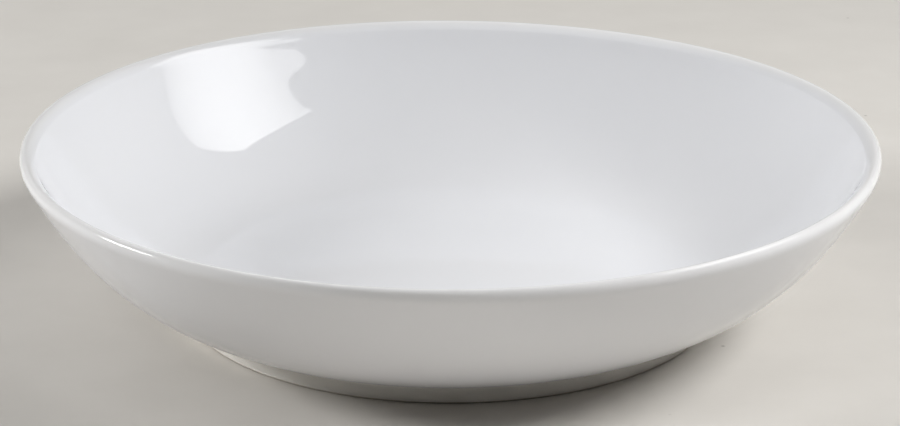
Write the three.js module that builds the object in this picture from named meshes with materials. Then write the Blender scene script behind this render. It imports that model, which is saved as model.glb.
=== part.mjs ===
// Coupe dinner bowl in white porcelain: one fired body with its foot ring, a glossy glaze over all that
// shows, and a second patch of glaze under the base. The ring that it stands on is wiped bare of glaze.
// Millimetres, +Z up, with the origin at the centre of the standing ring.
import * as THREE from 'three';

// Finished sizes, over the glaze; the reach of the lip is how far its rounding runs down the wall
const rimDiameter = 230;
const bowlHeight = 47.5;
const lipThickness = 3.8;
const lipReach = 3.4;
const wallThicknessAtFoot = 4.8;

// Sweep of the outer wall: its slopes in degrees from level, and how far it holds to each of them
const wallSlopeAtFoot = 20;
const wallSlopeAtLip = 62;
const wallPullAtFoot = 20;
const wallPullAtLip = 22;

// Flat well: thickness of the base under it, and how far its edge lies inside the side of the foot
const baseThickness = 4.3;
const wellInset = 23;

// Sweep from the inner wall down to the well: the share of the wall's run where it starts, and how far
// it holds to the slope of the wall and to the level of the well
const blendStart = 0.25;
const blendPullAtWall = 10;
const blendPullAtWell = 16;

// Foot ring: size at the table, height outside, width of its tread, lean of its sides off the vertical
const footDiameter = 146;
const footHeight = 4.8;
const footWidth = 4.2;
const footOuterDraft = 3;
const footInnerDraft = 28;
const footEdgeRadius = 0.5;
const footCoveRadius = 1.1;

// Underside within the foot ring, domed a little so that only the ring touches the table
const recessDepth = 3.1;
const recessDome = 0.5;
const recessCoveRadius = 2;

// Glaze, the hairline that keeps its solid off the body's, and the height of the bare band that the
// wiping leaves on both sides of the foot
const glazeThickness = 0.25;
const bondGap = 0.02;
const bareHeight = 0.6;

// Facets of the round forms
const facetsAround = 64;
const outerWallSteps = 7;
const innerWallSteps = 6;
const lipOuterSteps = 2;
const lipTopSteps = 3;
const lipInnerSteps = 3;
const blendSteps = 4;
const coveSteps = 2;
const edgeSteps = 2;
const undersideSteps = 2;

// Sizes of the bare body, which carries the glaze on top
const bodyRimRadius = rimDiameter / 2 - glazeThickness;
const bodyTop = bowlHeight - glazeThickness;
const bodyLipHalf = lipThickness / 2 - glazeThickness;
const bodyLipReach = lipReach - glazeThickness;
const bodyWallAtFoot = wallThicknessAtFoot - 2 * glazeThickness;
const bodyFootRadius = footDiameter / 2 - glazeThickness;
const bodyRecessDepth = recessDepth + glazeThickness;
const bodyWellHeight = recessDepth + baseThickness - glazeThickness;
const bodyWellRadius = footDiameter / 2 - wellInset;

const radians = THREE.MathUtils.degToRad;
const quarterTurn = radians(90);

function point(radius, height) {
  return new THREE.Vector2(radius, height);
}

// Unit vector at an angle in degrees from level
function heading(degrees) {
  return point(Math.cos(radians(degrees)), Math.sin(radians(degrees)));
}

// The place a distance along a direction from a start
function along(start, direction, distance) {
  return start.clone().addScaledVector(direction, distance);
}

function turnedLeft(direction) {
  return point(-direction.y, direction.x);
}

function turnedRight(direction) {
  return point(direction.y, -direction.x);
}

function arc(centre, start, end, clockwise) {
  const from = start.clone().sub(centre);
  const to = end.clone().sub(centre);
  const radius = from.length();
  return new THREE.EllipseCurve(centre.x, centre.y, radius, radius, from.angle(), to.angle(), clockwise);
}

// Round for a corner of the section, touching the straight sides before and after it
function cornerRound(before, corner, after, radius) {
  const back = before.clone().sub(corner).normalize();
  const ahead = after.clone().sub(corner).normalize();
  const halfAngle = back.angleTo(ahead) / 2;
  const reach = radius / Math.tan(halfAngle);
  const bisector = back.clone().add(ahead).normalize();
  const centre = along(corner, bisector, radius / Math.sin(halfAngle));
  const start = along(corner, back, reach);
  const end = along(corner, ahead, reach);
  return { start, end, curve: arc(centre, start, end, back.cross(ahead) > 0) };
}

// Inner face of the wall, down from the lip to a share of the outer face's run: the outer face moved in
// by a thickness that eases from the foot to the lip
class InnerWallCurve extends THREE.Curve {
  constructor(outerWall, thicknessAtFoot, thicknessAtLip, endShare) {
    super();
    this.outerWall = outerWall;
    this.thicknessAtFoot = thicknessAtFoot;
    this.thicknessAtLip = thicknessAtLip;
    this.endShare = endShare;
  }

  getPoint(t) {
    const share = THREE.MathUtils.lerp(1, this.endShare, t);
    const inward = turnedLeft(this.outerWall.getTangent(share));
    const eased = THREE.MathUtils.smoothstep(share, 0, 1);
    const thickness = THREE.MathUtils.lerp(this.thicknessAtFoot, this.thicknessAtLip, eased);
    return along(this.outerWall.getPoint(share), inward, thickness);
  }
}

// Corners of the foot ring in section
const outerLean = Math.tan(radians(footOuterDraft));
const innerLean = Math.tan(radians(footInnerDraft));
const treadOuter = point(bodyFootRadius, 0);
const treadInner = point(bodyFootRadius - footWidth, 0);
const recessCorner = point(treadInner.x - bodyRecessDepth * innerLean, bodyRecessDepth);
const wallCorner = point(treadOuter.x + footHeight * outerLean, footHeight);
const wallStartHeading = heading(wallSlopeAtFoot);
const wallAhead = along(wallCorner, wallStartHeading, wallPullAtFoot);
const undersideCentre = point(0, bodyRecessDepth + recessDome);
const undersideCrown = point(recessCorner.x / 2, undersideCentre.y);

const recessCove = cornerRound(undersideCrown, recessCorner, treadInner, recessCoveRadius);
const innerEdge = cornerRound(recessCorner, treadInner, treadOuter, footEdgeRadius);
const outerEdge = cornerRound(treadInner, treadOuter, wallCorner, footEdgeRadius);
const footCove = cornerRound(treadOuter, wallCorner, wallAhead, footCoveRadius);

// Where the glaze stops on the two sides of the foot
const innerGlazeLine = point(treadInner.x - bareHeight * innerLean, bareHeight);
const outerGlazeLine = point(treadOuter.x + bareHeight * outerLean, bareHeight);

// Lip: half an oval that stands on the end of the wall, placed by its widest and its highest point
const wallEndHeading = heading(wallSlopeAtLip);
const lipTurn = radians(wallSlopeAtLip);
const lipSide = point(bodyLipReach * Math.cos(lipTurn), bodyLipHalf * Math.sin(lipTurn));
const lipRise = point(bodyLipReach * Math.sin(lipTurn), bodyLipHalf * Math.cos(lipTurn));
const lipWidestAngle = -Math.atan2(lipSide.y, lipSide.x);
const lipTopAngle = Math.atan2(lipRise.y, lipRise.x);
const lipCentre = point(bodyRimRadius - lipSide.length(), bodyTop - lipRise.length());

function lipStretch(fromAngle, toAngle) {
  const { x, y } = lipCentre;
  return new THREE.EllipseCurve(x, y, bodyLipReach, bodyLipHalf, fromAngle, toAngle, false, lipTurn);
}

// Outer wall from the foot to the lip
const lipOuter = along(lipCentre, turnedRight(wallEndHeading), bodyLipHalf);
const outerWall = new THREE.CubicBezierCurve(
  footCove.end,
  along(footCove.end, wallStartHeading, wallPullAtFoot),
  along(lipOuter, wallEndHeading, -wallPullAtLip),
  lipOuter,
);

// Inner wall, and the sweep below it that ends level with the well
const innerWall = new InnerWallCurve(outerWall, bodyWallAtFoot, 2 * bodyLipHalf, blendStart);
const innerWallFoot = innerWall.getPoint(1);
const wellEdge = point(bodyWellRadius, bodyWellHeight);
const wellCentre = point(0, bodyWellHeight);
const wellBlend = new THREE.CubicBezierCurve(
  innerWallFoot,
  along(innerWallFoot, innerWall.getTangent(1), blendPullAtWall),
  along(wellEdge, heading(0), blendPullAtWell),
  wellEdge,
);

// The section's stretches in order, from the centre of the underside out to the foot, up the outside,
// over the lip and down the inside to the centre of the well
const undersideGlazed = [
  [new THREE.QuadraticBezierCurve(undersideCentre, undersideCrown, recessCove.start), undersideSteps],
  [recessCove.curve, coveSteps],
  [new THREE.LineCurve(recessCove.end, innerGlazeLine), 1],
];
const standingRingBare = [
  [new THREE.LineCurve(innerGlazeLine, innerEdge.start), 1],
  [innerEdge.curve, edgeSteps],
  [new THREE.LineCurve(innerEdge.end, outerEdge.start), 1],
  [outerEdge.curve, edgeSteps],
  [new THREE.LineCurve(outerEdge.end, outerGlazeLine), 1],
];
const bowlGlazed = [
  [new THREE.LineCurve(outerGlazeLine, footCove.start), 1],
  [footCove.curve, coveSteps],
  [outerWall, outerWallSteps],
  [lipStretch(-quarterTurn, lipWidestAngle), lipOuterSteps],
  [lipStretch(lipWidestAngle, lipTopAngle), lipTopSteps],
  [lipStretch(lipTopAngle, quarterTurn), lipInnerSteps],
  [innerWall, innerWallSteps],
  [wellBlend, blendSteps],
  [new THREE.LineCurve(wellEdge, wellCentre), 1],
];

// Points along the stretches, each with the direction that faces out of the body there
function trace(stretches) {
  return stretches.flatMap(([curve, steps], index) => {
    const firstStep = index === 0 ? 0 : 1;
    return Array.from({ length: steps + 1 - firstStep }, (_, count) => {
      const t = (count + firstStep) / steps;
      return { place: curve.getPoint(t), outward: turnedRight(curve.getTangent(t)) };
    });
  });
}

// Line that lies a distance outside a traced one
function raised(traced, distance) {
  return traced.map(({ place, outward }) => along(place, outward, distance));
}

// Solid of revolution about +Z from a section that starts and ends on the axis
function turnedPiece(name, section, material) {
  const geometry = new THREE.LatheGeometry(section, facetsAround);
  geometry.rotateX(quarterTurn);
  const mesh = new THREE.Mesh(geometry, material);
  mesh.name = name;
  return mesh;
}

const bareBody = new THREE.MeshStandardMaterial({ color: 0xe6dfd3, roughness: 0.8, metalness: 0 });
const whiteGlaze = new THREE.MeshStandardMaterial({ color: 0xeceded, roughness: 0.1, metalness: 0 });

const bodyTrace = trace([...undersideGlazed, ...standingRingBare, ...bowlGlazed]);
const undersideTrace = trace(undersideGlazed);
const bowlTrace = trace(bowlGlazed);

const bodySection = raised(bodyTrace, 0);
const coatSection = [...raised(bowlTrace, bondGap).reverse(), ...raised(bowlTrace, glazeThickness)];
const baseSection = [
  ...raised(undersideTrace, glazeThickness),
  ...raised(undersideTrace, bondGap).reverse(),
];

const bowl = new THREE.Group();
bowl.add(turnedPiece('porcelain_body', bodySection, bareBody));
bowl.add(turnedPiece('glaze_coat', coatSection, whiteGlaze));
bowl.add(turnedPiece('base_glaze', baseSection, whiteGlaze));

export default bowl;
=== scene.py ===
import math
import bpy
import numpy as np
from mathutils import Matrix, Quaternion, Vector


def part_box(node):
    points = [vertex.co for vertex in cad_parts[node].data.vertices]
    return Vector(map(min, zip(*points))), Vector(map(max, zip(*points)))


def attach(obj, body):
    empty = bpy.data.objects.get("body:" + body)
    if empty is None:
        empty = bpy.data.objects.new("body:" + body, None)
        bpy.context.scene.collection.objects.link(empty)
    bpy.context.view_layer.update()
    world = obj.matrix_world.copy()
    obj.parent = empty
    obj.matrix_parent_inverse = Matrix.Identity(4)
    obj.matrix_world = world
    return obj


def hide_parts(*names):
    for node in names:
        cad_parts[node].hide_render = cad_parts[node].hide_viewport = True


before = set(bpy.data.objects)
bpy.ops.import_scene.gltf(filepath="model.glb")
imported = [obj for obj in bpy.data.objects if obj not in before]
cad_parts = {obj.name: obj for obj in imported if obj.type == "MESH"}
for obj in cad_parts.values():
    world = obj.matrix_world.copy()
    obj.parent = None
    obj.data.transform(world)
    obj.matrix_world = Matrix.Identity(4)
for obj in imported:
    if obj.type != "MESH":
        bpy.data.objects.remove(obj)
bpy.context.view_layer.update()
print("frame loaded:", ", ".join(sorted(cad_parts)))

# Form of the bowl, in metres and degrees, as the solids have it except for the lip's fold; rim and height
# come from the frame
bowlForm = {
    "rimRadius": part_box("glaze_coat")[1].x,
    "height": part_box("glaze_coat")[1].z,
    "lipThickness": 0.0038,
    "lipReach": 0.0034,             # how far the rounding of the lip runs down the wall
    "lipFold": (0.8, 1.75),         # outside and inside: 1 is an even oval, 2 meets the wall in a crease
    "wallAtFoot": 0.0048,           # thickness of the wall where it leaves the foot
    "slopeAtFoot": 20.0,            # outer wall's slopes from level, and how far it holds to them
    "slopeAtLip": 62.0,
    "pullAtFoot": 0.020,
    "pullAtLip": 0.022,
    "baseThickness": 0.0043,
    "wellRadius": 0.050,            # flat middle of the inside
    "blendStart": 0.25,             # share of the wall's run where the inside starts to flatten
    "blendPullAtWall": 0.010,
    "blendPullAtWell": 0.016,
    "footRadius": 0.073,
    "footHeight": 0.0048,
    "footWidth": 0.0042,
    "footOuterDraft": 3.0,
    "footInnerDraft": 28.0,
    "footEdgeRadius": 0.0005,
    "footCoveRadius": 0.0011,
    "recessDepth": 0.0031,
    "recessDome": 0.0005,
    "recessCoveRadius": 0.002,
    "glaze": 0.00025,
    "bondGap": 0.00002,
    "bareHeight": 0.0006,           # bare band at the bottom of both sides of the foot
}

# Small departures from a perfect turned form, from drying and firing
firing = {
    "rimTilt": (0.00020, 2.62),     # rise of the lip's high side, and where it lies, in radians
    "rimWave": (0.00021, -0.38),    # its rise in two waves
    "rimRipple": (0.00008, 0.09),   # and in three
    "rimSink": 0.00023,             # how far all of the lip settles
    "rimOval": (0.00012, 0.3),      # out of round at the lip
    "skinSwell": 0.0000035,         # gentle unevenness of the glaze
    "skinPeriod": 0.034,
    "coveGather": 0.00012,          # extra glaze that runs into the cove over the foot
    "coveDrop": 0.0002,             # how far below the top of the foot it is deepest
    "coveSpread": 0.0007,           # and how far up and down it thins out
    "coveRun": 0.02,                # no glaze gathers farther than this from its bare edge
    "edgeRoll": 0.0006,             # length over which the glaze rounds off at its bare edge
}

# Waves of the glaze's unevenness: the way each one runs, its share of the period, and the shift between them
skinWaves = {
    "ways": ((1.0, 0.3, 0.5), (-0.4, 0.9, 0.6), (0.7, -0.8, 0.2), (0.2, 0.5, -1.1), (-0.9, -0.5, 0.7)),
    "periods": (1.0, 0.72, 0.55, 0.83, 0.63),
    "shift": 1.7,
}

# Steps along each stretch of the section, from the middle of the underside to the middle of the well
sectionSteps = {
    "crown": 20, "recessCove": 8, "recessSide": 8,
    "bareBand": 3, "innerEdge": 6, "tread": 24, "outerEdge": 8,
    "footSide": 8, "footCove": 10, "outerWall": 48, "lip": 40, "blend": 28, "well": 18,
}

axisLimit = 1e-9                    # points nearer to the axis than this lie on it


def heading(degrees):
    return np.array([math.cos(math.radians(degrees)), math.sin(math.radians(degrees))])


def leftOf(direction):
    return np.array([-direction[1], direction[0]])


# Cubic curve through two end points, drawn towards the two inner ones
def cubic(p0, p1, p2, p3, steps):
    t = np.linspace(0, 1, steps + 1)[:, None]
    return (1 - t) ** 3 * p0 + 3 * t * (1 - t) ** 2 * p1 + 3 * t * t * (1 - t) * p2 + t ** 3 * p3


def straight(start, end, steps):
    return start + np.linspace(0, 1, steps + 1)[:, None] * (end - start)


# Points of a circle about a centre, from one angle to another in degrees
def roundPart(centre, radius, fromAngle, toAngle, steps):
    angle = np.radians(np.linspace(fromAngle, toAngle, steps + 1))
    return centre + radius * np.stack([np.cos(angle), np.sin(angle)], axis=1)


# Arc that touches both straight sides of a corner
def cornerRound(before, corner, after, radius, steps):
    back = (before - corner) / np.linalg.norm(before - corner)
    ahead = (after - corner) / np.linalg.norm(after - corner)
    half = math.acos(float(back @ ahead)) / 2
    bisector = (back + ahead) / np.linalg.norm(back + ahead)
    centre = corner + bisector * radius / math.sin(half)
    start = corner + back * radius / math.tan(half) - centre
    end = corner + ahead * radius / math.tan(half) - centre
    fromAngle = math.degrees(math.atan2(start[1], start[0]))
    turn = math.degrees(math.atan2(start[0] * end[1] - start[1] * end[0], float(start @ end)))
    return roundPart(centre, radius, fromAngle, fromAngle + turn, steps)


def joined(*lines):
    return np.concatenate([lines[0]] + [line[1:] for line in lines[1:]])


# Unit normals of a section line, to the right of the way it runs, from its neighbours on both sides
def outwardOf(line):
    step = np.gradient(line, axis=0)
    step /= np.linalg.norm(step, axis=1)[:, None]
    return np.stack([step[:, 1], -step[:, 0]], axis=1)


# Section of the body in radius and height: under the base, the bare standing ring, and the glazed rest,
# which runs up the outside, over the lip and down the inside to the middle of the well
def bodySection(form, steps):
    glaze = form["glaze"]
    lip = form["lipThickness"] / 2 - glaze
    footRadius = form["footRadius"] - glaze
    recess = form["recessDepth"] + glaze
    outerLean = math.tan(math.radians(form["footOuterDraft"]))
    innerLean = math.tan(math.radians(form["footInnerDraft"]))
    treadOuter = np.array([footRadius, 0.0])
    treadInner = np.array([footRadius - form["footWidth"], 0.0])
    recessCorner = np.array([treadInner[0] - recess * innerLean, recess])
    wallCorner = np.array([footRadius + form["footHeight"] * outerLean, form["footHeight"]])
    wallStart = heading(form["slopeAtFoot"])
    wallEnd = heading(form["slopeAtLip"])
    crownCentre = np.array([0.0, recess + form["recessDome"]])
    crownPull = np.array([recessCorner[0] / 2, crownCentre[1]])
    recessCove = cornerRound(crownPull, recessCorner, treadInner, form["recessCoveRadius"],
                             steps["recessCove"])
    innerEdge = cornerRound(recessCorner, treadInner, treadOuter, form["footEdgeRadius"], steps["innerEdge"])
    outerEdge = cornerRound(treadInner, treadOuter, wallCorner, form["footEdgeRadius"], steps["outerEdge"])
    footCove = cornerRound(treadOuter, wallCorner, wallCorner + wallStart, form["footCoveRadius"],
                           steps["footCove"])
    bare = form["bareHeight"]
    innerLine = np.array([treadInner[0] - bare * innerLean, bare])
    outerLine = np.array([treadOuter[0] + bare * outerLean, bare])

    # the crown is a parabola, the same as a cubic drawn two thirds of the way to its pull
    crownEnd = recessCove[0]
    crown = cubic(crownCentre, crownCentre + (crownPull - crownCentre) * 2 / 3,
                  crownEnd + (crownPull - crownEnd) * 2 / 3, crownEnd, steps["crown"])
    under = joined(crown, recessCove, straight(recessCove[-1], innerLine, steps["recessSide"]))
    ring = joined(straight(innerLine, innerEdge[0], steps["bareBand"]), innerEdge,
                  straight(innerEdge[-1], outerEdge[0], steps["tread"]), outerEdge,
                  straight(outerEdge[-1], outerLine, steps["bareBand"]))

    # lip: half an oval on the end of the wall, placed by its widest and its highest point; the power of
    # its cosine makes it fuller outside and lets it fold into the wall inside
    reach = form["lipReach"] - glaze
    lipSide = math.hypot(reach * wallEnd[0], lip * wallEnd[1])
    lipRise = math.hypot(reach * wallEnd[1], lip * wallEnd[0])
    lipCentre = np.array([form["rimRadius"] - glaze - lipSide, form["height"] - glaze - lipRise])
    lipTurn = np.radians(np.linspace(-90, 90, steps["lip"] + 1))[:, None]
    lipLength = np.cos(lipTurn) ** np.where(lipTurn < 0, *form["lipFold"])
    lipRound = lipCentre + reach * lipLength * wallEnd + lip * np.sin(lipTurn) * leftOf(wallEnd)
    outerWall = cubic(footCove[-1], footCove[-1] + wallStart * form["pullAtFoot"],
                      lipRound[0] - wallEnd * form["pullAtLip"], lipRound[0], steps["outerWall"])

    # inner wall: the outer one moved in by a thickness that eases from foot to lip, down to the blend
    share = np.linspace(0, 1, len(outerWall))
    thicknessAtFoot = form["wallAtFoot"] - 2 * glaze
    thickness = thicknessAtFoot + (2 * lip - thicknessAtFoot) * share ** 2 * (3 - 2 * share)
    innerWall = (outerWall - outwardOf(outerWall) * thickness[:, None])[share >= form["blendStart"]][::-1]
    innerWall = joined(lipRound[-1:], innerWall)
    wallDown = innerWall[-1] - innerWall[-2]
    wallDown /= np.linalg.norm(wallDown)
    wellEdge = np.array([form["wellRadius"], form["recessDepth"] + form["baseThickness"] - glaze])
    blend = cubic(innerWall[-1], innerWall[-1] + wallDown * form["blendPullAtWall"],
                  wellEdge + heading(0) * form["blendPullAtWell"], wellEdge, steps["blend"])
    well = straight(wellEdge, np.array([0.0, wellEdge[1]]), steps["well"])
    footSide = straight(outerLine, footCove[0], steps["footSide"])
    rest = joined(footSide, footCove, outerWall, lipRound, innerWall, blend, well)
    return under, ring, rest


# A line moved out by a depth at each of its points, with its axis end kept on the axis
def raised(line, depth):
    moved = line + outwardOf(line) * np.broadcast_to(depth, len(line))[:, None]
    moved[line[:, 0] < axisLimit, 0] = 0.0
    return moved


# Depth of glaze along a line: even, gathered about one height in a bell curve, and rounded off like a
# quarter circle at the edge
def glazeDepth(line, edgeDistance, deepestHeight):
    roll = np.clip(edgeDistance / firing["edgeRoll"], 0, 1)
    rounded = np.sqrt(1 - (1 - roll) ** 2)
    gather = np.exp(-((line[:, 1] - deepestHeight) / firing["coveSpread"]) ** 2)
    gather *= edgeDistance < firing["coveRun"]
    depth = bowlForm["glaze"] + firing["coveGather"] * gather
    return bowlForm["bondGap"] + (depth - bowlForm["bondGap"]) * rounded


def runLength(line):
    return np.concatenate([[0.0], np.cumsum(np.linalg.norm(np.diff(line, axis=0), axis=1))])


# Slow unevenness of the skin: a sum of plane waves of a few directions and periods
def skinSwell(places):
    ways = np.array(skinWaves["ways"])
    periods = firing["skinPeriod"] * np.array(skinWaves["periods"])
    phase = places @ (ways * (2 * math.pi / periods)[:, None]).T + np.arange(len(ways)) * skinWaves["shift"]
    return np.sin(phase).sum(axis=1) / len(ways)


# The fired form: the lip leans, rises and falls in two and three waves, settles a little and is slightly
# oval, all growing with the square of the way from the foot, where nothing moves
def fired(places):
    radius = np.hypot(places[:, 0], places[:, 1])
    angle = np.arctan2(places[:, 1], places[:, 0])
    foot = bowlForm["footRadius"]
    reach = np.clip((radius - foot) / (bowlForm["rimRadius"] - foot), 0, 1) ** 2
    rise = -firing["rimSink"]
    for waves, (height, turn) in enumerate((firing["rimTilt"], firing["rimWave"], firing["rimRipple"]), 1):
        rise = rise + height * np.cos(waves * (angle - turn))
    ovalHeight, ovalTurn = firing["rimOval"]
    oval = 1 + reach * ovalHeight / bowlForm["rimRadius"] * np.cos(2 * (angle + ovalTurn))
    moved = places * np.stack([oval, oval, np.ones(len(places))], axis=1)
    moved[:, 2] += reach * rise
    return moved


# A section carried once round the axis: a grid of rings, closed at both ends by a point on the axis
def turnedMesh(name, section, around):
    angle = np.linspace(0, 2 * math.pi, around, endpoint=False)
    rings = section[1:-1]
    grid = np.stack([rings[:, :1] * np.cos(angle), rings[:, :1] * np.sin(angle),
                     np.repeat(rings[:, 1:], around, axis=1)], axis=2)
    ends = np.array([[0.0, 0.0, section[0, 1]], [0.0, 0.0, section[-1, 1]]])
    places = np.concatenate([grid.reshape(-1, 3), ends])
    index = np.arange(len(rings) * around).reshape(len(rings), around)
    turnedOn = np.roll(index, -1, axis=1)
    quads = np.stack([index[:-1], turnedOn[:-1], turnedOn[1:], index[1:]], axis=2).reshape(-1, 4)
    first = np.full(around, len(places) - 2)
    last = np.full(around, len(places) - 1)
    startFan = np.stack([first, turnedOn[0], index[0]], axis=1)
    endFan = np.stack([last, index[-1], turnedOn[-1]], axis=1)
    mesh = bpy.data.meshes.new(name)
    mesh.from_pydata(places, [], quads.tolist() + startFan.tolist() + endFan.tolist())
    mesh.shade_smooth()
    return mesh, places


def addPiece(name, mesh, material, node):
    piece = bpy.data.objects.new(name, mesh)
    bpy.context.scene.collection.objects.link(piece)
    mesh.materials.append(material)
    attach(piece, "root")
    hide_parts(node)
    print("piece", name, "faces", len(mesh.polygons))


def setPlaces(mesh, places):
    mesh.vertices.foreach_set("co", places.astype(np.float32).ravel())
    mesh.update()


def setMask(mesh, name, values):
    mask = mesh.attributes.new(name, "FLOAT", "POINT")
    mask.data.foreach_set("value", values.astype(np.float32))


def newMaterial(name):
    material = bpy.data.materials.new(name)
    material.use_nodes = True
    nodes = material.node_tree.nodes
    return material, nodes, material.node_tree.links, nodes["Principled BSDF"]


# Cloudiness of the tones: how fine it gets, and the part of the noise that it spreads over
kilnClouds = {"detail": 3, "from": 0.3, "to": 0.7}


# Shared by the glaze, the bare body and the floor: slow drift between two tones, and the mask it follows
def makeKilnTone():
    group = bpy.data.node_groups.new("kilnTone", "ShaderNodeTree")
    for socket, kind in (("Vector", "NodeSocketVector"), ("Tone", "NodeSocketColor"),
                         ("Drift", "NodeSocketColor"), ("Scale", "NodeSocketFloat")):
        group.interface.new_socket(socket, in_out="INPUT", socket_type=kind)
    group.interface.new_socket("Color", in_out="OUTPUT", socket_type="NodeSocketColor")
    group.interface.new_socket("Mask", in_out="OUTPUT", socket_type="NodeSocketFloat")
    source = group.nodes.new("NodeGroupInput")
    result = group.nodes.new("NodeGroupOutput")
    noise = group.nodes.new("ShaderNodeTexNoise")
    noise.inputs["Detail"].default_value = kilnClouds["detail"]
    contrast = group.nodes.new("ShaderNodeMapRange")
    contrast.inputs["From Min"].default_value = kilnClouds["from"]
    contrast.inputs["From Max"].default_value = kilnClouds["to"]
    mix = group.nodes.new("ShaderNodeMix")
    mix.data_type = "RGBA"
    group.links.new(source.outputs["Vector"], noise.inputs["Vector"])
    group.links.new(source.outputs["Scale"], noise.inputs["Scale"])
    group.links.new(noise.outputs["Fac"], contrast.inputs["Value"])
    group.links.new(contrast.outputs["Result"], mix.inputs["Factor"])
    group.links.new(source.outputs["Tone"], mix.inputs["A"])
    group.links.new(source.outputs["Drift"], mix.inputs["B"])
    group.links.new(mix.outputs["Result"], result.inputs["Color"])
    group.links.new(contrast.outputs["Result"], result.inputs["Mask"])
    return group


# Small dark points, few and far between: the middles of some of the cells of a random net
def makePinSpecks():
    group = bpy.data.node_groups.new("pinSpecks", "ShaderNodeTree")
    for socket, kind in (("Vector", "NodeSocketVector"), ("Scale", "NodeSocketFloat"),
                         ("Size", "NodeSocketFloat"), ("Share", "NodeSocketFloat")):
        group.interface.new_socket(socket, in_out="INPUT", socket_type=kind)
    group.interface.new_socket("Mask", in_out="OUTPUT", socket_type="NodeSocketFloat")
    source = group.nodes.new("NodeGroupInput")
    result = group.nodes.new("NodeGroupOutput")
    cells = group.nodes.new("ShaderNodeTexVoronoi")
    near = group.nodes.new("ShaderNodeMapRange")
    near.interpolation_type = "SMOOTHSTEP"
    near.inputs["From Min"].default_value = 0.0
    near.inputs["To Min"].default_value = 1.0
    near.inputs["To Max"].default_value = 0.0
    split = group.nodes.new("ShaderNodeSeparateColor")
    chosen = group.nodes.new("ShaderNodeMath")
    chosen.operation = "LESS_THAN"
    both = group.nodes.new("ShaderNodeMath")
    both.operation = "MULTIPLY"
    group.links.new(source.outputs["Vector"], cells.inputs["Vector"])
    group.links.new(source.outputs["Scale"], cells.inputs["Scale"])
    group.links.new(cells.outputs["Distance"], near.inputs["Value"])
    group.links.new(source.outputs["Size"], near.inputs["From Max"])
    group.links.new(cells.outputs["Color"], split.inputs["Color"])
    group.links.new(split.outputs["Red"], chosen.inputs[0])
    group.links.new(source.outputs["Share"], chosen.inputs[1])
    group.links.new(near.outputs["Result"], both.inputs[0])
    group.links.new(chosen.outputs["Value"], both.inputs[1])
    group.links.new(both.outputs["Value"], result.inputs["Mask"])
    return group


kilnTone = makeKilnTone()
pinSpecks = makePinSpecks()


def placeGroup(nodes, group, **values):
    node = nodes.new("ShaderNodeGroup")
    node.node_tree = group
    for name, value in values.items():
        node.inputs[name].default_value = value
    return node


def attributeOf(nodes, name):
    attribute = nodes.new("ShaderNodeAttribute")
    attribute.attribute_name = name
    return attribute.outputs["Fac"]


# One colour where the mask is 0, which comes from another node, and a plain one where it is 1
def mixColors(nodes, links, mask, first, second):
    mix = nodes.new("ShaderNodeMix")
    mix.data_type = "RGBA"
    links.new(mask, mix.inputs["Factor"])
    links.new(first, mix.inputs["A"])
    mix.inputs["B"].default_value = second
    return mix.outputs["Result"]


# Carries a value from one range to another, easing in and out at its ends
def rampTo(nodes, links, source, low, high, toLow, toHigh):
    ramp = nodes.new("ShaderNodeMapRange")
    ramp.interpolation_type = "SMOOTHSTEP"
    for name, value in (("From Min", low), ("From Max", high), ("To Min", toLow), ("To Max", toHigh)):
        ramp.inputs[name].default_value = value
    links.new(source, ramp.inputs["Value"])
    return ramp.outputs["Result"]


# 1 for what the camera sees directly or in the gloss, and 0 for what only lights other surfaces
def seenShare(nodes, links):
    path = nodes.new("ShaderNodeLightPath")
    seen = nodes.new("ShaderNodeMath")
    seen.operation = "MAXIMUM"
    links.new(path.outputs["Is Camera Ray"], seen.inputs[0])
    links.new(path.outputs["Is Glossy Ray"], seen.inputs[1])
    return seen.outputs["Value"]


def addBump(nodes, links, shader, height, distance):
    bump = nodes.new("ShaderNodeBump")
    bump.inputs["Distance"].default_value = distance
    links.new(height, bump.inputs["Height"])
    links.new(bump.outputs["Normal"], shader.inputs["Normal"])


# Glossy white glaze: even and cool, a touch warmer where it thins over the lip, and warm over the foot
glazeFinish = {
    "tone": (0.835, 0.84, 0.86, 1.0),
    "drift": (0.82, 0.827, 0.85, 1.0),
    "driftScale": 22.0,
    "thinTone": (0.83, 0.825, 0.815, 1.0),
    "deepTone": (0.84, 0.812, 0.75, 1.0),   # over the foot, and in the corner of the recess
    "speckTone": (0.45, 0.42, 0.38, 1.0),
    "specks": {"Scale": 95.0, "Size": 0.028, "Share": 0.05},
    "roughness": (0.03, 0.055),
    "peelScale": 620.0,
    "peelDepth": 0.0000012,
}


def makeGlaze():
    material, nodes, links, shader = newMaterial("whiteGlaze")
    place = nodes.new("ShaderNodeTexCoord").outputs["Object"]
    tone = placeGroup(nodes, kilnTone, Tone=glazeFinish["tone"], Drift=glazeFinish["drift"],
                      Scale=glazeFinish["driftScale"])
    specks = placeGroup(nodes, pinSpecks, **glazeFinish["specks"])
    thin = attributeOf(nodes, "lipThin")
    deep = attributeOf(nodes, "gathered")
    peel = nodes.new("ShaderNodeTexNoise")
    peel.inputs["Scale"].default_value = glazeFinish["peelScale"]
    for target in (tone.inputs["Vector"], specks.inputs["Vector"], peel.inputs["Vector"]):
        links.new(place, target)
    color = mixColors(nodes, links, thin, tone.outputs["Color"], glazeFinish["thinTone"])
    color = mixColors(nodes, links, deep, color, glazeFinish["deepTone"])
    color = mixColors(nodes, links, specks.outputs["Mask"], color, glazeFinish["speckTone"])
    links.new(color, shader.inputs["Base Color"])
    roughness = rampTo(nodes, links, tone.outputs["Mask"], 0, 1, *glazeFinish["roughness"])
    links.new(roughness, shader.inputs["Roughness"])
    addBump(nodes, links, shader, peel.outputs["Fac"], glazeFinish["peelDepth"])
    return material


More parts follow.
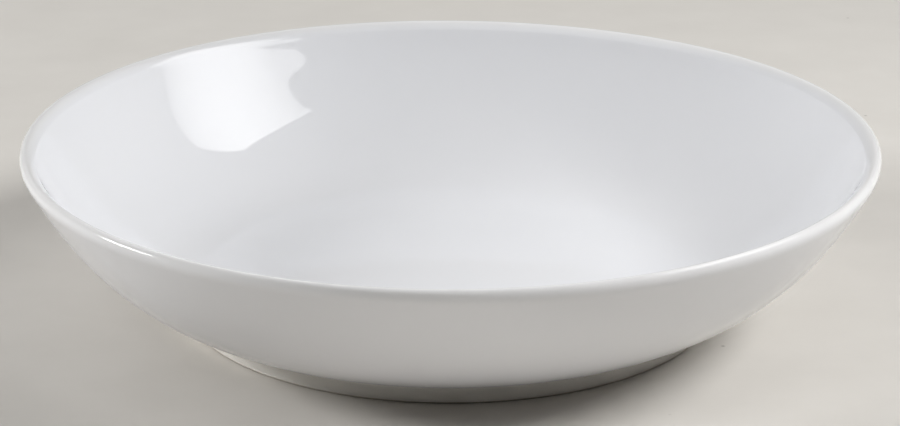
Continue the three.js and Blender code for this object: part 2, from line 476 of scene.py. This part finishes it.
# Bare fired porcelain of the standing ring: warm, matt and finely grained, darkened near the table by painted
# contact shade together with wear
bareFinish = {
    "tone": (0.78, 0.73, 0.66, 1.0),
    "drift": (0.70, 0.64, 0.56, 1.0),
    "driftScale": 140.0,
    # painted contact shade together with wear: near black where the ring meets the table
    "shadeAndWearTone": (0.22, 0.20, 0.17, 1.0),
    "speckTone": (0.34, 0.27, 0.20, 1.0),
    "specks": {"Scale": 700.0, "Size": 0.12, "Share": 0.07},
    "roughness": (0.62, 0.82),
    "grainScale": 2600.0,
    "grainSpan": (0.3, 0.7),        # part of the grain's noise that the roughness follows
    "grainDepth": 0.00003,
}


def makeBareBody():
    material, nodes, links, shader = newMaterial("barePorcelain")
    place = nodes.new("ShaderNodeTexCoord").outputs["Object"]
    tone = placeGroup(nodes, kilnTone, Tone=bareFinish["tone"], Drift=bareFinish["drift"],
                      Scale=bareFinish["driftScale"])
    specks = placeGroup(nodes, pinSpecks, **bareFinish["specks"])
    shadeAndWear = attributeOf(nodes, "treadShadeAndWear")
    grain = nodes.new("ShaderNodeTexNoise")
    grain.inputs["Scale"].default_value = bareFinish["grainScale"]
    for target in (tone.inputs["Vector"], specks.inputs["Vector"], grain.inputs["Vector"]):
        links.new(place, target)
    # the ring darkens towards the table: painted contact shade, together with wear
    color = mixColors(nodes, links, shadeAndWear, tone.outputs["Color"], bareFinish["shadeAndWearTone"])
    color = mixColors(nodes, links, specks.outputs["Mask"], color, bareFinish["speckTone"])
    links.new(color, shader.inputs["Base Color"])
    roughness = rampTo(nodes, links, grain.outputs["Fac"], *bareFinish["grainSpan"], *bareFinish["roughness"])
    links.new(roughness, shader.inputs["Roughness"])
    addBump(nodes, links, shader, grain.outputs["Fac"], bareFinish["grainDepth"])
    return material


glazeMaterial = makeGlaze()
bareMaterial = makeBareBody()
print("materials ready")

underLine, ringLine, bowlLine = bodySection(bowlForm, sectionSteps)
coveHeight = bowlForm["footHeight"] - firing["coveDrop"]

# Porcelain body: the whole fired form under the glaze, of which only the standing ring shows
bodyPiece = {
    "around": 288,
    "hiddenSteps": 2,               # under the glaze only every second step of the section is kept
    "ringGroove": 0.000012,         # half the depth of the turning rings in the tread, and their spacing
    "ringPitch": 0.00042,
    "shadeAndWearHeight": 0.00042,          # how far up from the table the ring is darkened by painted contact shade and wear
    "shadeAndWearShare": 0.75,              # painted contact shade and wear all round, and how much more or less of it in patches
    "shadeAndWearPatches": 0.25,
    "patchesAround": 5,
    "patchTwist": 900.0,            # turn of the patches across the ring, in radians per metre
}


# The section carried round; the painted contact shade and wear fades upwards in a bell curve and comes and
# goes in slanting patches
def makeBody():
    line = joined(underLine, ringLine, bowlLine[::bodyPiece["hiddenSteps"]])
    mesh, places = turnedMesh("porcelainBody", line, bodyPiece["around"])
    radius = np.hypot(places[:, 0], places[:, 1])
    tread = np.exp(-(places[:, 2] / bodyPiece["shadeAndWearHeight"]) ** 2)
    groove = np.sin(2 * math.pi * radius / bodyPiece["ringPitch"])
    places = fired(places)
    # faint turning rings in the tread, cut upwards so that the ring still stands at zero
    places[:, 2] += tread * bodyPiece["ringGroove"] * (1 + groove)
    setPlaces(mesh, places)
    angle = np.arctan2(places[:, 1], places[:, 0])
    patches = np.sin(bodyPiece["patchesAround"] * angle + bodyPiece["patchTwist"] * radius)
    # mask of the painted contact shade and wear at the bottom of the ring
    setMask(mesh, "treadShadeAndWear", tread * (bodyPiece["shadeAndWearShare"] + bodyPiece["shadeAndWearPatches"] * patches))
    addPiece("porcelainBody", mesh, bareMaterial, "porcelain_body")


# Glaze over everything that shows
coatPiece = {
    "around": 384,
    "backSteps": 4,                 # the hidden back keeps every fourth step of the section
    "thinHeight": 0.0012,           # how far down from the top of the lip the glaze is thin
    "thinShare": 0.7,
    "footShare": 0.8,               # share of the warm tone over the foot
    "footFade": 0.0008,             # how far above the cove that tone fades, and how far out it reaches
    "footReach": 0.003,
}


# Its back follows the body, and its face is raised by the depth of glaze and moved by its slow unevenness
def makeCoat():
    distance = runLength(bowlLine)
    face = raised(bowlLine, glazeDepth(bowlLine, distance, coveHeight))
    back = raised(bowlLine, bowlForm["bondGap"])[::-1][::coatPiece["backSteps"]]
    line = np.concatenate([back, face])
    mesh, places = turnedMesh("glazeCoat", line, coatPiece["around"])
    radius = np.hypot(places[:, 0], places[:, 1])
    lipMask = np.exp(-((places[:, 2] - bowlForm["height"]) / coatPiece["thinHeight"]) ** 2)
    footMask = np.exp(-(np.maximum(places[:, 2] - coveHeight, 0) / coatPiece["footFade"]) ** 2)
    footMask *= radius < bowlForm["footRadius"] + coatPiece["footReach"]
    swell = skinSwell(places) * firing["skinSwell"]
    radial = places[:, :2] / np.maximum(radius, axisLimit)[:, None]
    places = fired(places)
    isFace = np.arange(len(places)) >= len(back) * coatPiece["around"]
    places[:, 2] += swell * isFace
    places[:, :2] += radial * (swell * isFace)[:, None]
    setPlaces(mesh, places)
    setMask(mesh, "lipThin", lipMask * coatPiece["thinShare"])
    setMask(mesh, "gathered", footMask * coatPiece["footShare"])
    addPiece("glazeCoat", mesh, glazeMaterial, "glaze_coat")


# Glaze under the base, inside the bare ring
basePiece = {
    "around": 288,
    "deepInset": 0.0062,            # from the side of the foot in to the cove, where the glaze is deepest
    "deepWidth": 0.0012,
    "deepShare": 0.6,               # share of the warm tone there
}


# A closed skin on the underside, rounded off where it was wiped
def makeBaseGlaze():
    distance = runLength(underLine[::-1])[::-1]
    face = raised(underLine, glazeDepth(underLine, distance, bowlForm["recessDepth"]))
    back = raised(underLine, bowlForm["bondGap"])[::-1]
    mesh, places = turnedMesh("baseGlaze", np.concatenate([face, back]), basePiece["around"])
    setMask(mesh, "lipThin", np.zeros(len(places)))
    radius = np.hypot(places[:, 0], places[:, 1])
    fromCove = radius - (bowlForm["footRadius"] - basePiece["deepInset"])
    setMask(mesh, "gathered", basePiece["deepShare"] * np.exp(-(fromCove / basePiece["deepWidth"]) ** 2))
    addPiece("baseGlaze", mesh, glazeMaterial, "base_glaze")


makeBody()
makeCoat()
makeBaseGlaze()

# Floor: a pale, warm, matt table top with a little cloudiness and a few specks
floorPlan = {
    "half": 6.0,
    "tone": (0.70, 0.675, 0.635, 1.0),
    "drift": (0.67, 0.645, 0.605, 1.0),
    "driftScale": 34.0,
    "speckTone": (0.40, 0.38, 0.35, 1.0),
    "specks": {"Scale": 60.0, "Size": 0.05, "Share": 0.35},
    "roughness": (0.6, 0.75),
    "specular": 0.1,
    "farTone": (0.58, 0.56, 0.525, 1.0),    # what is seen of it away from the bowl
    "farFrom": 0.22,
    "farTo": 0.55,
}


def makeFloor():
    half = floorPlan["half"]
    corners = [(-half, -half, 0), (half, -half, 0), (half, half, 0), (-half, half, 0)]
    mesh = bpy.data.meshes.new("floor")
    mesh.from_pydata(corners, [], [(0, 1, 2, 3)])
    floor = bpy.data.objects.new("floor", mesh)
    bpy.context.scene.collection.objects.link(floor)
    material, nodes, links, shader = newMaterial("tableTop")
    place = nodes.new("ShaderNodeTexCoord").outputs["Object"]
    tone = placeGroup(nodes, kilnTone, Tone=floorPlan["tone"], Drift=floorPlan["drift"],
                      Scale=floorPlan["driftScale"])
    specks = placeGroup(nodes, pinSpecks, **floorPlan["specks"])
    reach = nodes.new("ShaderNodeVectorMath")
    reach.operation = "LENGTH"
    for target in (tone.inputs["Vector"], specks.inputs["Vector"], reach.inputs[0]):
        links.new(place, target)
    color = mixColors(nodes, links, specks.outputs["Mask"], tone.outputs["Color"], floorPlan["speckTone"])
    links.new(color, shader.inputs["Base Color"])
    roughness = rampTo(nodes, links, tone.outputs["Mask"], 0, 1, *floorPlan["roughness"])
    links.new(roughness, shader.inputs["Roughness"])
    shader.inputs["Specular IOR Level"].default_value = floorPlan["specular"]
    # far from the bowl the camera and the gloss see an even pale tone, which lights nothing
    far = rampTo(nodes, links, reach.outputs["Value"], floorPlan["farFrom"], floorPlan["farTo"], 0, 1)
    share = nodes.new("ShaderNodeMath")
    share.operation = "MULTIPLY"
    links.new(far, share.inputs[0])
    links.new(seenShare(nodes, links), share.inputs[1])
    even = nodes.new("ShaderNodeEmission")
    even.inputs["Color"].default_value = floorPlan["farTone"]
    blend = nodes.new("ShaderNodeMixShader")
    links.new(share.outputs["Value"], blend.inputs["Fac"])
    links.new(shader.outputs["BSDF"], blend.inputs[1])
    links.new(even.outputs["Emission"], blend.inputs[2])
    links.new(blend.outputs["Shader"], nodes["Material Output"].inputs["Surface"])
    mesh.materials.append(material)


makeFloor()
print("floor ready")

# Camera at the photograph's place: in front, looking down on the bowl
cameraPlan = {
    "place": (0.0, -0.6742, 0.2678),
    "lookDown": 19.835,             # degrees from level
    "turn": -0.0116,                # degrees to the right
    "lens": 105.0,                  # lens and sensor in millimetres
    "sensor": 36.0,
    "clipStart": 0.01,
}


def makeCamera():
    data = bpy.data.cameras.new("camera")
    data.lens = cameraPlan["lens"]
    data.sensor_width = cameraPlan["sensor"]
    data.clip_start = cameraPlan["clipStart"]
    camera = bpy.data.objects.new("camera", data)
    camera.location = cameraPlan["place"]
    camera.rotation_euler = (math.radians(90 - cameraPlan["lookDown"]), 0, math.radians(-cameraPlan["turn"]))
    bpy.context.scene.collection.objects.link(camera)
    bpy.context.scene.camera = camera


# Studio lamps: place, the point each one faces, size in metres, glow of its oval face, and the kinds of
# reflection that it takes part in. Key and side lamp light the scene and leave the gloss to faces of
# their own: the side lamp's is sideFace, and the key's is keyFace below
studioLamps = {
    "keyUmbrella": {"place": (0.771, -0.034, 0.666), "faces": (0, 0, 0.03), "size": (0.50, 0.42),
                    "glow": 17.9, "gloss": False},
    "sideLamp": {"place": (-0.982, 0.147, 0.372), "faces": (0, 0, 0.03), "size": (0.62, 0.26), "roll": 31,
                 "glow": 21.9, "gloss": False},
    "sideFace": {"place": (-0.863, -0.09, 0.193), "faces": (-0.08, -0.085, 0.047), "size": (0.31, 0.16),
                 "glow": 20.0, "matt": False},
    "frontFill": {"place": (-0.553, -0.79, 1.179), "faces": (0, 0, 0.03), "size": (0.60, 0.40),
                  "glow": 2.80, "gloss": False},
    "tableLamp": {"place": (0, -0.42, 0.6), "faces": (0, -0.42, 0), "size": (0.4, 0.4),
                  "glow": 0.95, "gloss": False, "spread": 70},
    "farTable": {"place": (0, 0.75, 0.6), "faces": (0, 0.45, 0), "size": (0.5, 0.3),
                 "glow": 0.72, "gloss": False, "spread": 90},
}

# Pale surroundings: what matt surfaces get from them, and what the camera and the gloss see
worldLight = {"fill": (0.01, 0.01, 0.01, 1.0), "seen": (0.45, 0.44, 0.425, 1.0)}


def makeLights():
    for name, plan in studioLamps.items():
        data = bpy.data.lights.new(name, "AREA")
        data.shape = "ELLIPSE"
        data.size, data.size_y = plan["size"]
        area = math.pi / 4 * data.size * data.size_y
        data.energy = math.pi * area * plan["glow"]     # watts that give the face its glow
        data.spread = math.radians(plan.get("spread", 180))
        lamp = bpy.data.objects.new(name, data)
        lamp.location = plan["place"]
        aim = Vector(plan["faces"]) - Vector(plan["place"])
        roll = Quaternion((0, 0, 1), math.radians(plan.get("roll", 0)))
        lamp.rotation_euler = (aim.to_track_quat("-Z", "Y") @ roll).to_euler()
        lamp.visible_camera = False
        lamp.visible_diffuse = plan.get("matt", True)
        lamp.visible_glossy = plan.get("gloss", True)
        bpy.context.scene.collection.objects.link(lamp)
    world = bpy.data.worlds.new("studio")
    world.use_nodes = True
    nodes = world.node_tree.nodes
    links = world.node_tree.links
    fill = nodes.new("ShaderNodeRGB").outputs["Color"]
    fill.default_value = worldLight["fill"]
    color = mixColors(nodes, links, seenShare(nodes, links), fill, worldLight["seen"])
    links.new(color, nodes["Background"].inputs["Color"])
    bpy.context.scene.world = world


# The face of the key umbrella as the gloss shows it: an outline across and up its own plane, in metres,
# brightest along a slanting band and dimmer on both sides of it
keyFace = {
    "middle": (0.632, 0.045, 0.72),
    "across": (0.0, 1.0, 0.0),
    "upward": (-0.692, 0.0, 0.722),
    "outline": ((0.09, -0.33), (0.18, -0.28), (0.26, -0.19), (0.32, -0.10), (0.37, 0.02), (0.345, 0.125),
                (0.305, 0.19), (0.227, 0.19), (0.04, 0.215), (-0.125, 0.25), (-0.144, 0.21), (-0.20, 0.134),
                (-0.267, 0.068), (-0.338, 0.054), (-0.40, 0.063), (-0.454, 0.048), (-0.452, -0.014),
                (-0.36, -0.09), (-0.28, -0.16), (-0.18, -0.22), (-0.05, -0.28)),
    "outlineSteps": 6,              # steps from one point of the outline to the next
    "rings": 24,
    "innerRing": 0.02,              # size of the innermost ring, as a share of the outline
    "glow": 5.4,
    "bandSlant": 47.5,              # degrees from across to the bright band
    "bandHalf": 0.37,               # distance from the band at which the glow would be gone
    "leastGlow": (3.4, 1.7),        # above the band and below it
}


# Smooth closed line through the outline's points, each stretch a cubic that leaves a point along the
# line between its neighbours
def closedLine(points, steps):
    before = np.roll(points, 1, axis=0)[:, None]
    after = np.roll(points, -1, axis=0)[:, None]
    beyond = np.roll(points, -2, axis=0)[:, None]
    start = points[:, None]
    t = np.linspace(0, 1, steps, endpoint=False)[None, :, None]
    leaving = (after - before) / 2
    arriving = (beyond - start) / 2
    line = ((2 * t ** 3 - 3 * t ** 2 + 1) * start + (t ** 3 - 2 * t ** 2 + t) * leaving
            + (3 * t ** 2 - 2 * t ** 3) * after + (t ** 3 - t ** 2) * arriving)
    return line.reshape(-1, 2)


# A flat face of rings that grow from the middle to the outline, each point with its own glow, which
# falls off with the square of the distance from the band and stops at the least glow
def makeKeyFace():
    outline = closedLine(np.array(keyFace["outline"]), keyFace["outlineSteps"])
    grow = np.linspace(keyFace["innerRing"], 1, keyFace["rings"])[:, None, None]
    flat = (grow * outline[None]).reshape(-1, 2)
    places = (np.array(keyFace["middle"]) + flat[:, :1] * np.array(keyFace["across"])
              + flat[:, 1:] * np.array(keyFace["upward"]))
    index = np.arange(len(flat)).reshape(len(grow), len(outline))
    turnedOn = np.roll(index, -1, axis=1)
    quads = np.stack([index[:-1], index[1:], turnedOn[1:], turnedOn[:-1]], axis=2).reshape(-1, 4)
    mesh = bpy.data.meshes.new("keyFace")
    mesh.from_pydata(places, [], quads.tolist() + [index[0].tolist()])
    offBand = flat @ leftOf(heading(keyFace["bandSlant"]))
    glow = keyFace["glow"] * (1 - (offBand / keyFace["bandHalf"]) ** 2)
    setMask(mesh, "glow", np.maximum(glow, np.where(offBand > 0, *keyFace["leastGlow"])))
    material, nodes, links, shader = newMaterial("keyFace")
    nodes.remove(shader)
    glowing = nodes.new("ShaderNodeEmission")
    links.new(attributeOf(nodes, "glow"), glowing.inputs["Strength"])
    links.new(glowing.outputs["Emission"], nodes["Material Output"].inputs["Surface"])
    mesh.materials.append(material)
    face = bpy.data.objects.new("keyFace", mesh)
    face.visible_camera = False
    face.visible_diffuse = False
    face.visible_transmission = False
    face.visible_shadow = False
    bpy.context.scene.collection.objects.link(face)


makeCamera()
makeLights()
makeKeyFace()
bpy.context.scene.view_settings.view_transform = "Standard"
print("camera and lights ready")
